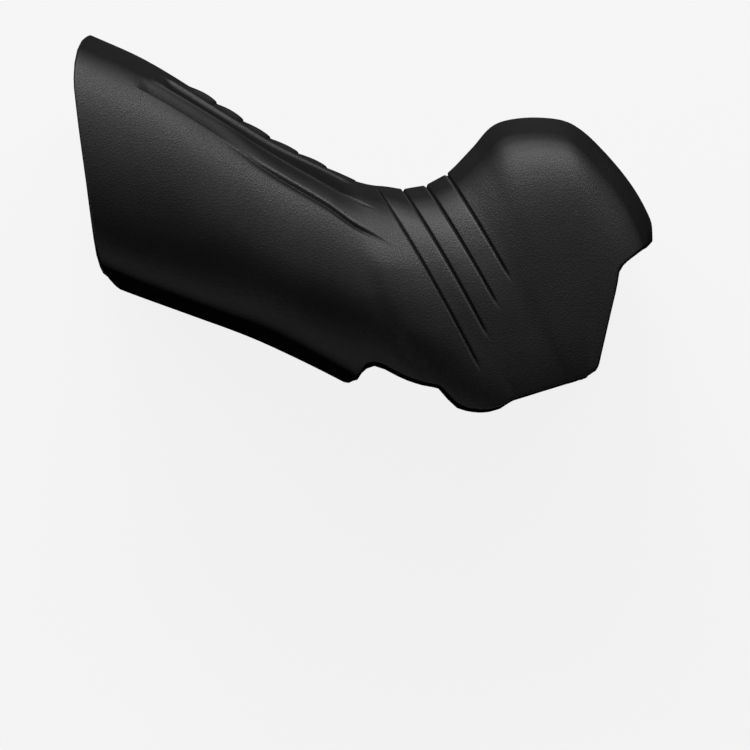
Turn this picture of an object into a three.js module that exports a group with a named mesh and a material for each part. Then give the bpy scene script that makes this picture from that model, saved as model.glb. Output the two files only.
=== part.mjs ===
import * as THREE from 'three';
import { ConvexHull } from 'three/addons/math/ConvexHull.js';

// Rubber hood of a road bike brake lever: one moulded sleeve that is pulled over the lever's body.
// It is drawn upright, in millimetres: x runs towards the nose, y across and z up.
// Its rear mouth faces the handlebar, and the lever blade comes out of the mouth under its nose.

// Sizes that can be set one by one. The side outlines are stretched to LENGTH and HEIGHT.
const LENGTH = 103.2;
const HEIGHT = 67.7;
const WALL = 2.0;
const REAR_WIDTH = 34.6;
const GRIP_WIDTH = 32.4;
const NECK_WIDTH = 30.6;
const CHEEK_WIDTH = 34.4;
const NOSE_WIDTH = 32.0;
const SLASH_WIDTH = 0.9;
const SLASH_DEPTH = 0.5;
const LINE_WIDTH = 0.9;
const LINE_DEPTH = 0.35;
const PAD_COUNT = 6;
const PAD_PITCH = 5.75;
const PAD_HEIGHT = 0.5;
const PAD_EDGE = 1.1;
const FIRST_PAD = 26.2;

// Where each long groove starts and ends along the ridge, from the rear tip, and how fast it fades
const LINE_SPANS = [[14.5, 55.6], [11.5, 57], [9, 57.6]];
const LINE_FADE = 4;

// Section stations from the rear rim to the lip, with the first and last lying past the trimmed ends.
// ridge and keel are the ends of the section in side view, as [x, z]. Past the grip the keel is only
// where the open section would close. waist is the share of the section's height at which it is widest.
// crown and taper draw its upper and lower quarters in, or fill them out where they are negative.
// bow pushes its middle forward, and lines are the angles round the section of the three long grooves.
const STATIONS = [
  { ridge: [-54.5, 36.0], keel: [-48.2, -10.3], waist: 0.50, crown: -0.10, taper: -0.16, bow: 0.0, lines: [22, 32, 43] },
  { ridge: [-49.6, 33.9], keel: [-42.5, -12.6], waist: 0.50, crown: -0.10, taper: -0.16, bow: 0.0, lines: [22, 32, 43] },
  { ridge: [-39.3, 29.2], keel: [-31.5, -16.6], waist: 0.51, crown: -0.08, taper: -0.06, bow: 0.0, lines: [22, 32, 44] },
  { ridge: [-26.6, 21.4], keel: [-20.7, -20.6], waist: 0.52, crown: -0.10, taper: 0.06, bow: 0.0, lines: [22, 31, 45] },
  { ridge: [-17.0, 15.2], keel: [-11.7, -24.7], waist: 0.52, crown: -0.10, taper: 0.10, bow: 0.0, lines: [20, 31, 47] },
  { ridge: [-7.4, 10.2], keel: [-2.8, -29.2], waist: 0.50, crown: -0.08, taper: 0.22, bow: 0.0, lines: [18, 35, 50] },
  { ridge: [-3.1, 8.0], keel: [2.3, -32.0], waist: 0.50, crown: -0.06, taper: 0.30, bow: 0.2, lines: [18, 36, 53] },
  { ridge: [-0.2, 7.1], keel: [11.3, -35.3], waist: 0.50, crown: -0.04, taper: -0.08, bow: 0.5, lines: [21, 38, 57] },
  { ridge: [2.0, 6.7], keel: [28.7, -43.3], waist: 0.50, crown: -0.02, taper: -0.38, bow: 0.8, lines: [25, 40, 64] },
  { ridge: [6.8, 6.1], keel: [32.0, -41.4], waist: 0.50, crown: 0.00, taper: -0.45, bow: 0.8, lines: [26, 42, 64] },
  { ridge: [10.9, 6.8], keel: [36.4, -40.6], waist: 0.50, crown: 0.00, taper: -0.45, bow: 0.8, lines: [26, 42, 62] },
  { ridge: [14.6, 8.8], keel: [40.6, -39.1], waist: 0.50, crown: -0.05, taper: -0.45, bow: 0.7, lines: [26, 42, 60] },
  { ridge: [19.1, 13.3], keel: [41.1, -39.4], waist: 0.48, crown: -0.14, taper: -0.45, bow: 0.4, lines: [26, 42, 58] },
  { ridge: [23.0, 17.5], keel: [41.3, -40.0], waist: 0.46, crown: -0.24, taper: -0.45, bow: 0.2, lines: [26, 42, 58] },
  { ridge: [27.5, 18.8], keel: [41.4, -40.0], waist: 0.45, crown: -0.30, taper: -0.45, bow: 0.0, lines: [26, 42, 58] },
  { ridge: [33.5, 18.8], keel: [41.2, -40.2], waist: 0.44, crown: -0.32, taper: -0.45, bow: 0.0, lines: [26, 42, 58] },
  { ridge: [37.2, 17.8], keel: [41.0, -40.9], waist: 0.44, crown: -0.32, taper: -0.45, bow: 0.0, lines: [26, 42, 58] },
  { ridge: [41.4, 14.5], keel: [40.6, -41.2], waist: 0.45, crown: -0.30, taper: -0.45, bow: 0.0, lines: [26, 42, 58] },
  { ridge: [47.6, 7.3], keel: [38.9, -40.6], waist: 0.46, crown: -0.26, taper: -0.45, bow: 0.0, lines: [26, 42, 58] },
  { ridge: [51.3, 0.7], keel: [37.4, -39.6], waist: 0.48, crown: -0.22, taper: -0.45, bow: 0.0, lines: [26, 42, 58] },
  { ridge: [51.7, -2.5], keel: [37.6, -37.9], waist: 0.50, crown: -0.18, taper: -0.45, bow: 0.0, lines: [26, 42, 58] },
  { ridge: [51.5, -5.8], keel: [38.2, -36.0], waist: 0.50, crown: -0.16, taper: -0.45, bow: 0.0, lines: [26, 42, 58] },
];
const REAR_TIP = 1;
const BAND_END = 5;
const SLASH_STATIONS = [8, 9, 10, 11];
const WIDTHS = [[0, REAR_WIDTH], [4, GRIP_WIDTH], [7, NECK_WIDTH], [13, CHEEK_WIDTH], [16, CHEEK_WIDTH], [21, NOSE_WIDTH]];

// Side outlines that trim the sleeve, as [x, z]
const REAR_RIM = [
  [-46.0, 35.5], [-49.6, 33.9], [-50.5, 32.7], [-51.1, 31.0], [-51.5, 28.4], [-51.6, 25.6], [-51.5, 23.6],
  [-50.7, 16.8], [-47.9, -4.8], [-47.5, -6.9], [-46.9, -8.6], [-46.1, -10.1], [-45.0, -11.4], [-43.6, -12.5], [-42.0, -13.2],
];
const FRONT_EDGE = [
  [53.0, -3.1], [51.5, -3.8], [50.5, -4.3], [48.6, -5.6], [46.5, -7.2], [45.3, -8.4], [45.0, -9.2],
  [44.6, -11.9], [41.7, -24.3], [41.4, -25.6], [40.9, -26.6], [40.0, -28.0],
];
const LOWER_EDGE = [
  [-4.4, -28.7], [-2.8, -29.0], [-1.4, -28.3], [0.2, -25.7], [1.5, -25.3], [2.9, -25.6], [6.3, -27.4],
  [8.4, -28.3], [10.4, -28.9], [13.5, -29.5], [15.8, -32.2], [16.8, -33.0], [18.7, -33.6], [20.8, -33.8],
  [22.2, -33.7], [24.1, -33.2], [26.3, -31.8], [39.2, -27.8], [40.1, -27.2], [40.9, -26.6], [45.0, -23.0],
];

// Smooth curve through values at given places along the ridge
function curveThrough(places, values) {
  const last = places.length - 1;
  const slope = (k) => {
    const before = Math.max(k - 1, 0);
    const after = Math.min(k + 1, last);
    return (values[after] - values[before]) / (places[after] - places[before]);
  };
  return (place) => {
    let k = 0;
    while (k < last - 1 && place > places[k + 1]) k += 1;
    const span = places[k + 1] - places[k];
    const t = (place - places[k]) / span;
    const bend = t * t * (3 - 2 * t);
    const start = t * (1 - t) * (1 - t) * span * slope(k);
    const end = t * t * (1 - t) * span * slope(k + 1);
    return values[k] + (values[k + 1] - values[k]) * bend + start - end;
  };
}

// Straight steps through the points of an outline, read along one of its axes
function outlineReader(points, from, to) {
  const sorted = [...points].sort((a, b) => a[from] - b[from]);
  return (value) => {
    let k = 0;
    while (k < sorted.length - 2 && value > sorted[k + 1][from]) k += 1;
    const [a, b] = [sorted[k], sorted[k + 1]];
    return a[to] + ((value - a[from]) / (b[from] - a[from])) * (b[to] - a[to]);
  };
}

// The outlines above are drawn at these sizes, and stretched to the sleeve's own
const DRAWN_LENGTH = 103.2;
const DRAWN_HEIGHT = 67.7;
const stretched = ([x, z]) => [(x * LENGTH) / DRAWN_LENGTH, (z * HEIGHT) / DRAWN_HEIGHT];
const stations = STATIONS.map((s) => ({ ...s, ridge: stretched(s.ridge), keel: stretched(s.keel) }));

const places = [0];
for (let k = 1; k < stations.length; k += 1) {
  const [a, b] = [stations[k - 1].ridge, stations[k].ridge];
  places.push(places[k - 1] + Math.hypot(b[0] - a[0], b[1] - a[1]));
}
const along = (read) => curveThrough(places, stations.map(read));
const ridgeX = along((s) => s.ridge[0]);
const ridgeZ = along((s) => s.ridge[1]);
const keelX = along((s) => s.keel[0]);
const keelZ = along((s) => s.keel[1]);
const waist = along((s) => s.waist);
const crown = along((s) => s.crown);
const taper = along((s) => s.taper);
const bow = along((s) => s.bow);
const lineAngles = [0, 1, 2].map((k) => along((s) => THREE.MathUtils.degToRad(s.lines[k])));
const halfWidth = curveThrough(WIDTHS.map(([k]) => places[k]), WIDTHS.map(([, width]) => width / 2));

const rearRimX = outlineReader(REAR_RIM.map(stretched), 1, 0);
const frontEdgeX = outlineReader(FRONT_EDGE.map(stretched), 1, 0);
const lowerEdgeZ = outlineReader(LOWER_EDGE.map(stretched), 0, 1);
const frontTop = stretched(FRONT_EDGE[0])[1];
const lowerEdgeStart = stretched(LOWER_EDGE[0])[0];

// Share by which a line across the wall is longer than the wall, where a section meets its outline aslant
const STEP = 0.02;
const LEAST_SINE = 0.5;
function slant(x, z, place, dx, dz) {
  const tx = x(place + STEP) - x(place - STEP);
  const tz = z(place + STEP) - z(place - STEP);
  const sine = Math.abs(tx * dz - tz * dx) / (Math.hypot(tx, tz) * Math.hypot(dx, dz));
  return 1 / Math.max(sine, LEAST_SINE);
}

// Point at a place along the ridge and an angle round the section, at a depth under the smooth outer skin
function skin(place, angle, depth = 0) {
  const side = Math.sin(angle);
  const level = Math.cos(angle);
  const share = waist(place);
  const dx = keelX(place) - ridgeX(place);
  const dz = keelZ(place) - ridgeZ(place);
  const height = Math.hypot(dx, dz);
  const above = share - (depth * slant(ridgeX, ridgeZ, place, dx, dz)) / height;
  const below = 1 - share - (depth * slant(keelX, keelZ, place, dx, dz)) / height;
  const drop = share - (level > 0 ? above : below) * level;
  const fill = level > 0 ? crown(place) : taper(place);
  const width = (halfWidth(place) - depth) * side * (1 - fill * level * level);
  const forward = (4 * drop * (1 - drop) * bow(place)) / height;
  return new THREE.Vector3(
    ridgeX(place) + dx * drop - dz * forward,
    width,
    ridgeZ(place) + dz * drop + dx * forward,
  );
}

// Directions of the outer skin along the ridge and round the section, and its outward normal
function frameAt(place, angle) {
  const turn = STEP / 10;
  const ahead = skin(place + STEP, angle).sub(skin(place - STEP, angle)).divideScalar(2 * STEP);
  const round = skin(place, angle + turn).sub(skin(place, angle - turn)).divideScalar(2 * turn);
  const normal = new THREE.Vector3().crossVectors(ahead, round).normalize();
  return { ahead, round, normal };
}

// Halves the range in which a test turns from true to false
function border(inside, outside, test) {
  const HALVINGS = 30;
  let [a, b] = [inside, outside];
  for (let n = 0; n < HALVINGS; n += 1) {
    const middle = (a + b) / 2;
    if (test(middle)) a = middle;
    else b = middle;
  }
  return a;
}

// First change of a test on the way from one value to another
function firstBorder(start, end, steps, test) {
  let before = start;
  for (let n = 1; n <= steps; n += 1) {
    const here = start + ((end - start) * n) / steps;
    if (!test(here)) return border(before, here, test);
    before = here;
  }
  return end;
}

// One skin of the sleeve, at a depth under the outer one, trimmed by the side outlines
const SEARCH_STEPS = 120;
function makeSkin(depth) {
  const keelClear = (place) => {
    const p = skin(place, Math.PI, depth);
    return p.z > lowerEdgeZ(p.x) || p.x < lowerEdgeStart;
  };
  const bandEnd = firstBorder(places[BAND_END - 1], places[BAND_END + 2], SEARCH_STEPS, keelClear);
  const lastAngle = (place) => {
    if (place <= bandEnd) return Math.PI;
    return firstBorder(Math.PI / 2, Math.PI, SEARCH_STEPS, (angle) => {
      const p = skin(place, angle, depth);
      return p.z > lowerEdgeZ(p.x);
    });
  };
  const angleOf = (place, row) => {
    const marks = [0, ...lineAngles.map((line) => line(place)), lastAngle(place)];
    const k = Math.min(Math.floor(row.at), marks.length - 2);
    const angle = marks[k] + (marks[k + 1] - marks[k]) * (row.at - k);
    return row.away ? angle + row.away / frameAt(place, angle).round.length() : angle;
  };
  const middle = places[BAND_END];
  const rowEnds = (row) => {
    const point = (place) => skin(place, angleOf(place, row), depth);
    const rear = firstBorder(middle, places[0], SEARCH_STEPS, (place) => {
      const p = point(place);
      return p.x > rearRimX(p.z);
    });
    const front = firstBorder(middle, places[places.length - 1], SEARCH_STEPS, (place) => {
      const p = point(place);
      return p.z > frontTop || p.x < frontEdgeX(p.z);
    });
    return { rear, front };
  };
  return { depth, bandEnd, angleOf, rowEnds };
}

// Raised pads along the top, each rising slowly and ending in a short steep edge, and lower to the front
const PAD_FADE = 0.5;
const PAD_SHOULDER = 0.45;
const firstPad = places[REAR_TIP] + FIRST_PAD - PAD_PITCH;
function padHeight(place, row) {
  const run = (place - firstPad) / PAD_PITCH;
  const pad = Math.floor(run);
  if (row.at >= 1 || pad < 0 || pad >= PAD_COUNT) return 0;
  const t = (run - pad) * PAD_PITCH;
  const rise = PAD_PITCH - PAD_EDGE;
  const fade = 1 - (PAD_FADE * pad) / PAD_COUNT;
  const share = t < rise ? Math.sin((Math.PI / 2) * (t / rise)) : (PAD_PITCH - t) / PAD_EDGE;
  return PAD_HEIGHT * fade * share * Math.sqrt(1 - row.at * row.at);
}

// Long grooves down the grip and slanting slashes across the neck, as depth below the skin.
// Slashes start and end at rows, which are numbered below, and only the first starts off the ridge.
const SLASH_SPANS = [[0.5, 3.72], [0, 3.55], [0, 3.4], [0, 3.3]];
const SLASH_START_FADE = 0.12;
const SLASH_END_FADE = 0.2;
const ramp = (t) => THREE.MathUtils.clamp(t, 0, 1);

function lineDepth(place, row) {
  const line = Math.round(row.at) - 1;
  if (row.away || row.at % 1 || line < 0 || line > 2) return 0;
  const [start, end] = LINE_SPANS[line].map((run) => places[REAR_TIP] + run);
  return LINE_DEPTH * ramp((place - start) / LINE_FADE) * ramp((end - place) / LINE_FADE);
}

function slashDepth(column, row) {
  if (column.slash === undefined) return 0;
  const [start, end] = SLASH_SPANS[column.slash];
  const rise = start === 0 ? 1 : ramp((row.at - start) / SLASH_START_FADE);
  return SLASH_DEPTH * rise * ramp((end - row.at) / SLASH_END_FADE);
}

// Rows run along the sleeve: the ridge is 0, the three long grooves are 1 to 3 and the rim or keel is 4
const RIM = 4;
const spread = (from, to, count) => Array.from({ length: count }, (_, k) => from + ((to - from) * k) / count);
const even = (from, to, count) => spread(from, to, count).map((at) => ({ at }));
const groove = (at) => [{ at, away: -LINE_WIDTH / 2 }, { at }, { at, away: LINE_WIDTH / 2 }];
const outerRows = [
  ...even(0, 0.8, 2), { at: 0.8 }, ...groove(1), { at: 1.5 }, ...groove(2), { at: 2.5 }, ...groove(3),
  ...even(3.13, RIM, 8), { at: RIM },
];
const innerRows = [...even(0, 3, 4), ...even(3, RIM, 7), { at: RIM }];

// Columns run round the section, at places along the ridge, closest where the open rim turns corners
const CORNER_REACH = 2.6;
const fanStart = places[SLASH_STATIONS[0] - 1];
function fanColumns(bandEnd, density) {
  const count = (share) => Math.round(share * density);
  const corner = Math.min(bandEnd + CORNER_REACH, fanStart);
  return [
    ...spread(bandEnd, corner, count(7)),
    ...spread(corner, fanStart, count(5)),
    ...spread(fanStart, places[SLASH_STATIONS[0]], count(9)),
  ];
}

function outerColumns(bandEnd, end) {
  const list = [];
  const add = (place, slash) => list.push({ place, slash });
  spread(places[REAR_TIP], firstPad, 6).forEach((place) => add(place));
  for (let pad = 0; pad < PAD_COUNT; pad += 1) {
    const start = firstPad + pad * PAD_PITCH;
    [0, PAD_SHOULDER * PAD_PITCH, PAD_PITCH - PAD_EDGE].forEach((run) => add(start + run));
  }
  fanColumns(bandEnd, 1).forEach((place) => add(place));
  SLASH_STATIONS.forEach((k, slash) => {
    const across = frameAt(places[k], Math.PI / 2);
    const half = (SLASH_WIDTH / 2) / across.ahead.cross(across.round.normalize()).length();
    [-half, 0, half].forEach((away) => add(places[k] + away, away ? undefined : slash));
    if (k < SLASH_STATIONS.at(-1)) add((places[k] + places[k + 1]) / 2);
  });
  spread(places[SLASH_STATIONS.at(-1)], end, 16).slice(1).forEach((place) => add(place));
  add(end);
  return sortedColumns(list);
}

function innerColumns(bandEnd, end) {
  const slashes = SLASH_STATIONS.map((k) => places[k]);
  const list = [
    ...spread(places[REAR_TIP], bandEnd, 10),
    ...fanColumns(bandEnd, 0.6),
    ...slashes,
    ...spread(slashes.at(-1), end, 11).slice(1),
    end,
  ];
  return sortedColumns(list.map((place) => ({ place })));
}

// Columns closer together than this are merged, and grooves come first
const CLOSEST = 0.2;
function sortedColumns(list) {
  const wanted = [...list].sort((a, b) => a.place - b.place);
  return wanted.filter((column, k) => {
    if (column.slash !== undefined || k === 0 || k === wanted.length - 1) return true;
    const near = (other) => other && Math.abs(other.place - column.place) < CLOSEST;
    return !(near(wanted[k - 1]) || (near(wanted[k + 1]) && wanted[k + 1].slash !== undefined));
  });
}

// Grid points of one skin on both sides, the ends of each row being slid to the trimmed rims
const REAR_SLIDE = 26;
const FRONT_SLIDE = 46;
const positions = [];
function addPoint(point) {
  positions.push(point.x, point.y, point.z);
  return positions.length / 3 - 1;
}

function makeGrid(layer, columnsFor, rows, relief) {
  const ends = rows.map((row) => layer.rowEnds(row));
  const columns = columnsFor(layer.bandEnd, ends[0].front);
  const [first, last] = [columns[0].place, columns.at(-1).place];
  const grid = columns.map((column) => rows.map((row, j) => {
    const rearFade = ramp(1 - (column.place - first) / REAR_SLIDE) ** 2;
    const frontFade = ramp(1 - (last - column.place) / FRONT_SLIDE) ** 2;
    const place = column.place + (ends[j].rear - first) * rearFade + (ends[j].front - last) * frontFade;
    const angle = layer.angleOf(place, row);
    const point = skin(place, angle, layer.depth);
    if (relief) point.addScaledVector(frameAt(place, angle).normal, relief(place, column, row));
    const closed = j === 0 || (j === rows.length - 1 && column.place <= layer.bandEnd + 1e-6);
    if (closed) {
      point.y = 0;
      const shared = addPoint(point);
      return [shared, shared];
    }
    const left = addPoint(point.clone().setY(-point.y));
    return [left, addPoint(point)];
  }));
  return { grid, columns };
}

const outerSkin = makeSkin(0);
const innerSkin = makeSkin(WALL);
const outer = makeGrid(outerSkin, outerColumns, outerRows, (place, column, row) => (
  padHeight(place, row) - lineDepth(place, row) - slashDepth(column, row)
));
const inner = makeGrid(innerSkin, innerColumns, innerRows);

// Triangles, wound so that each side of the sleeve faces out
const triangles = [];
function addTriangle(a, b, c, flip) {
  if (a === b || b === c || c === a) return;
  triangles.push(...(flip ? [a, c, b] : [a, b, c]));
}

function addSheet({ grid }, inward) {
  for (let i = 0; i + 1 < grid.length; i += 1) {
    for (let j = 0; j + 1 < grid[i].length; j += 1) {
      for (const side of [0, 1]) {
        const corner = (di, dj) => grid[i + di][j + dj][side];
        const flip = (side === 0) !== inward;
        addTriangle(corner(0, 0), corner(1, 0), corner(1, 1), flip);
        addTriangle(corner(0, 0), corner(1, 1), corner(0, 1), flip);
      }
    }
  }
}

// Path of a rim on one side, as point numbers with the share of its length reached at each
function withShares(ids) {
  const at = (id) => new THREE.Vector3().fromArray(positions, id * 3);
  const lengths = [0];
  for (let k = 1; k < ids.length; k += 1) lengths.push(lengths[k - 1] + at(ids[k]).distanceTo(at(ids[k - 1])));
  return ids.map((id, k) => ({ id, share: lengths[k] / lengths.at(-1) }));
}

function rearPath({ grid }, side) {
  return withShares(grid[0].map((pair) => pair[side]));
}

function lowerPath({ grid, columns }, layer, side) {
  const open = columns.findIndex((column) => column.place > layer.bandEnd + 1e-6);
  return withShares(grid.slice(open - 1).map((column) => column.at(-1)[side]));
}

function frontPath({ grid }, side) {
  return withShares(grid.at(-1).map((pair) => pair[side]).reverse());
}

// Band of triangles between an outer and an inner rim whose points don't match one to one
function addRim(outerPath, innerPath, flip) {
  let [i, j] = [0, 0];
  while (i < outerPath.length - 1 || j < innerPath.length - 1) {
    const outerNext = outerPath[i + 1]?.share ?? 2;
    const innerNext = innerPath[j + 1]?.share ?? 2;
    if (outerNext <= innerNext) {
      addTriangle(outerPath[i].id, outerPath[i + 1].id, innerPath[j].id, flip);
      i += 1;
    } else {
      addTriangle(outerPath[i].id, innerPath[j + 1].id, innerPath[j].id, flip);
      j += 1;
    }
  }
}

addSheet(outer, false);
addSheet(inner, true);
for (const side of [0, 1]) {
  addRim(rearPath(outer, side), rearPath(inner, side), side === 0);
  addRim(lowerPath(outer, outerSkin, side), lowerPath(inner, innerSkin, side), side === 0);
  addRim(frontPath(outer, side), frontPath(inner, side), side === 0);
}

const geometry = new THREE.BufferGeometry();
geometry.setAttribute('position', new THREE.Float32BufferAttribute(positions, 3));
geometry.setIndex(triangles);
geometry.computeVertexNormals();

const rubber = new THREE.MeshStandardMaterial({ color: 0x1d1d1e, roughness: 0.62, metalness: 0 });
const hood = new THREE.Mesh(geometry, rubber);
hood.name = 'lever_hood';

// Centre of mass of the closed mesh
function centreOfMass(shape) {
  const vertices = shape.getAttribute('position');
  const corners = [0, 1, 2].map(() => new THREE.Vector3());
  const sum = new THREE.Vector3();
  let volume = 0;
  for (let k = 0; k < triangles.length; k += 3) {
    corners.forEach((corner, n) => corner.fromBufferAttribute(vertices, triangles[k + n]));
    const part = corners[0].dot(corners[1].clone().cross(corners[2])) / 6;
    corners.forEach((corner) => sum.addScaledVector(corner, part / 4));
    volume += part;
  }
  return sum.divideScalar(volume);
}

// The sleeve lies on its side: of the hull's faces on that side, it rests on the one nearest its centre
const centre = centreOfMass(geometry);
const SIDEWAYS = 0.85;
const resting = new ConvexHull().setFromObject(hood).faces
  .filter((face) => face.normal.y > SIDEWAYS)
  .map((face) => ({ normal: face.normal.clone(), height: face.constant - face.normal.dot(centre) }))
  .sort((a, b) => a.height - b.height)[0];

const lying = new THREE.Group();
lying.add(hood);
const laidDown = new THREE.Quaternion().setFromUnitVectors(new THREE.Vector3(0, 1, 0), new THREE.Vector3(0, 0, -1));
const settled = new THREE.Quaternion().setFromUnitVectors(resting.normal, new THREE.Vector3(0, 1, 0));
lying.quaternion.copy(laidDown.multiply(settled));
lying.updateMatrixWorld(true);
const box = new THREE.Box3().setFromObject(lying, true);
const middle = box.getCenter(new THREE.Vector3());
lying.position.set(-middle.x, -middle.y, -box.min.z);

const group = new THREE.Group();
group.add(lying);

export default group;
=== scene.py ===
# %% [markdown]
# # The rubber hood of a brake lever
# A road bike's brake lever wears a sleeve of moulded rubber, which the rider's hand rests on.
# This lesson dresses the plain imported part: it builds one fine mesh of the same sleeve, with its pads,
# lines and slashes, gives it a matte rubber finish, and sets it on a pale table under soft light.
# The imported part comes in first, because every size and place below has to agree with it.

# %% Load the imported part
import math

import bpy
import numpy as np
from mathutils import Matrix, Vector
from mathutils.kdtree import KDTree


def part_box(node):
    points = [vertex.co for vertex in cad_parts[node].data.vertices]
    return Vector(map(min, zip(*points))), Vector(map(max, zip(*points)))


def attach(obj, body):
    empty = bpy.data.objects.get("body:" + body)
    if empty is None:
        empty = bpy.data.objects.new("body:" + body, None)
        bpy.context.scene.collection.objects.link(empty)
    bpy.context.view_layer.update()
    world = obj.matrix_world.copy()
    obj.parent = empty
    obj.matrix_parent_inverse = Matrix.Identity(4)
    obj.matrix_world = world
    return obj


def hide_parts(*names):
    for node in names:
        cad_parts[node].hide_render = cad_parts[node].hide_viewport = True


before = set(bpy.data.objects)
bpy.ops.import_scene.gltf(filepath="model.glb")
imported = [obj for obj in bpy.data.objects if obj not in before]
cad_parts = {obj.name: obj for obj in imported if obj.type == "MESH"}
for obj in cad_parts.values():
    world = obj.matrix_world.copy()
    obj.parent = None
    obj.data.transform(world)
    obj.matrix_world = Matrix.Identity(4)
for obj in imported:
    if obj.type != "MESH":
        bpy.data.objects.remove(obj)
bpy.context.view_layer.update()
MM = 0.001

# %% [markdown]
# ## Sections of the sleeve
# The real hood is a tube whose section changes all the way: tall and narrow at the grip, pinched at the
# neck, and wide at the nose, where it stays open below for the lever blade. A box with subdivision
# could be pushed into that shape, but sections that are placed along the top line give full control.
# Each station has the top end of its section (ridge) and the bottom end (keel) in side view, in
# millimetres, then how it is rounded, and the angles of three long lines that run down the grip. The
# width changes slowly, so it is given at a few stations only, by their numbers.

# %% Stations along the ridge
STATIONS = [
    ((-54.5, 36.0), (-48.2, -10.3), 0.50, -0.10, -0.16, 0.0, (22, 32, 43)),
    ((-49.6, 33.9), (-42.5, -12.6), 0.50, -0.10, -0.16, 0.0, (22, 32, 43)),
    ((-39.3, 29.2), (-31.5, -16.6), 0.51, -0.08, -0.06, 0.0, (22, 32, 44)),
    ((-26.6, 21.4), (-20.7, -20.6), 0.52, -0.10, 0.06, 0.0, (22, 31, 45)),
    ((-17.0, 15.2), (-11.7, -24.7), 0.52, -0.10, 0.10, 0.0, (20, 31, 47)),
    ((-7.4, 10.2), (-2.8, -29.2), 0.50, -0.08, 0.22, 0.0, (18, 35, 51)),
    ((-3.1, 8.0), (2.3, -32.0), 0.50, -0.06, 0.30, 0.2, (18, 36, 55)),
    ((-0.2, 7.1), (11.3, -35.3), 0.50, -0.04, -0.08, 0.5, (21, 39, 59)),
    ((2.0, 6.7), (28.7, -43.3), 0.50, -0.02, -0.38, 0.8, (25, 41, 66)),
    ((6.8, 6.1), (32.0, -41.4), 0.50, 0.00, -0.45, 0.8, (26, 42, 64)),
    ((10.9, 6.8), (36.4, -40.6), 0.50, 0.00, -0.45, 0.8, (26, 42, 62)),
    ((14.6, 8.8), (40.6, -39.1), 0.50, -0.05, -0.45, 0.7, (26, 42, 60)),
    ((19.1, 13.3), (41.1, -39.4), 0.48, -0.14, -0.45, 0.4, (26, 42, 58)),
    ((23.0, 17.5), (41.3, -40.0), 0.46, -0.24, -0.45, 0.2, (26, 42, 58)),
    ((27.5, 18.8), (41.4, -40.0), 0.45, -0.30, -0.45, 0.0, (26, 42, 58)),
    ((33.5, 18.8), (41.2, -40.2), 0.44, -0.32, -0.45, 0.0, (26, 42, 58)),
    ((37.2, 17.8), (41.0, -40.9), 0.44, -0.32, -0.45, 0.0, (26, 42, 58)),
    ((41.4, 14.5), (40.6, -41.2), 0.45, -0.30, -0.45, 0.0, (26, 42, 58)),
    ((47.6, 7.3), (38.9, -40.6), 0.46, -0.26, -0.45, 0.0, (26, 42, 58)),
    ((51.3, 0.7), (37.4, -39.6), 0.48, -0.22, -0.45, 0.0, (26, 42, 58)),
    ((51.7, -2.5), (37.6, -37.9), 0.50, -0.18, -0.45, 0.0, (26, 42, 58)),
    ((51.5, -5.8), (38.2, -36.0), 0.50, -0.16, -0.45, 0.0, (26, 42, 58)),
]
REAR_TIP = 1
GRIP = 3
BAND_END = 5
NECK = 7
SLASH_STATIONS = [8, 9, 10, 11]
WALL = 2.0
WIDTHS = [(0, 34.6), (4, 32.4), (7, 30.6), (13, 34.4), (16, 34.4), (21, 32.0)]

ridge = np.array([station[0] for station in STATIONS])
keel = np.array([station[1] for station in STATIONS])
steps = np.hypot(*np.diff(ridge, axis=0).T)
places = np.concatenate([[0], np.cumsum(steps)])
print("ridge length, mm:", round(places[-1], 1))

# %% [markdown]
# ## A smooth curve through the stations
# Between stations every value has to flow, or the rubber would show rings. A cubic curve whose slope at
# each station follows its two neighbours does that, and it needs no library. The rounding is read as
# waist, crown, taper and bow: how far down a section is widest, how much it narrows above and below
# that, and how far it bends forward.

# %% Curves through values
def curve_through(at, values):
    """Smooth curve through values at given places, read at any array of places."""
    at = np.asarray(at, float)
    values = np.asarray(values, float)
    last = len(at) - 1
    before = np.maximum(np.arange(last + 1) - 1, 0)
    after = np.minimum(np.arange(last + 1) + 1, last)
    slopes = (values[after] - values[before]) / (at[after] - at[before])

    def read(place):
        k = np.clip(np.searchsorted(at, place) - 1, 0, last - 1)
        span = at[k + 1] - at[k]
        t = (place - at[k]) / span
        bend = t * t * (3 - 2 * t)
        start = t * (1 - t) ** 2 * span * slopes[k]
        end = t * t * (1 - t) * span * slopes[k + 1]
        return values[k] + (values[k + 1] - values[k]) * bend + start - end

    return read


ridge_x = curve_through(places, ridge[:, 0])
ridge_z = curve_through(places, ridge[:, 1])
keel_x = curve_through(places, keel[:, 0])
keel_z = curve_through(places, keel[:, 1])
waist, crown, taper, bow = [
    curve_through(places, [station[k] for station in STATIONS]) for k in (2, 3, 4, 5)
]
line_angles = [
    curve_through(places, [math.radians(station[6][k]) for station in STATIONS])
    for k in range(3)
]
half_width = curve_through(places[[k for k, _ in WIDTHS]], [width / 2 for _, width in WIDTHS])
print("half width at the neck, mm:", round(float(half_width(places[NECK])), 2))

# %% [markdown]
# ## The skin
# One function gives every point of the sleeve: a place along the ridge, an angle round the section from
# 0 on top to 180 degrees at the bottom, and a depth under the surface. The inner skin is the same
# function at the depth of the wall, so both always agree.

# %% Points of the skin
STEP = 0.02
LEAST_SINE = 0.5


def slant(x, z, place, dx, dz):
    """How much longer a line across the wall is where a section meets its outline aslant."""
    tx = x(place + STEP) - x(place - STEP)
    tz = z(place + STEP) - z(place - STEP)
    sine = np.abs(tx * dz - tz * dx) / (np.hypot(tx, tz) * np.hypot(dx, dz))
    return 1 / np.maximum(sine, LEAST_SINE)


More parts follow.
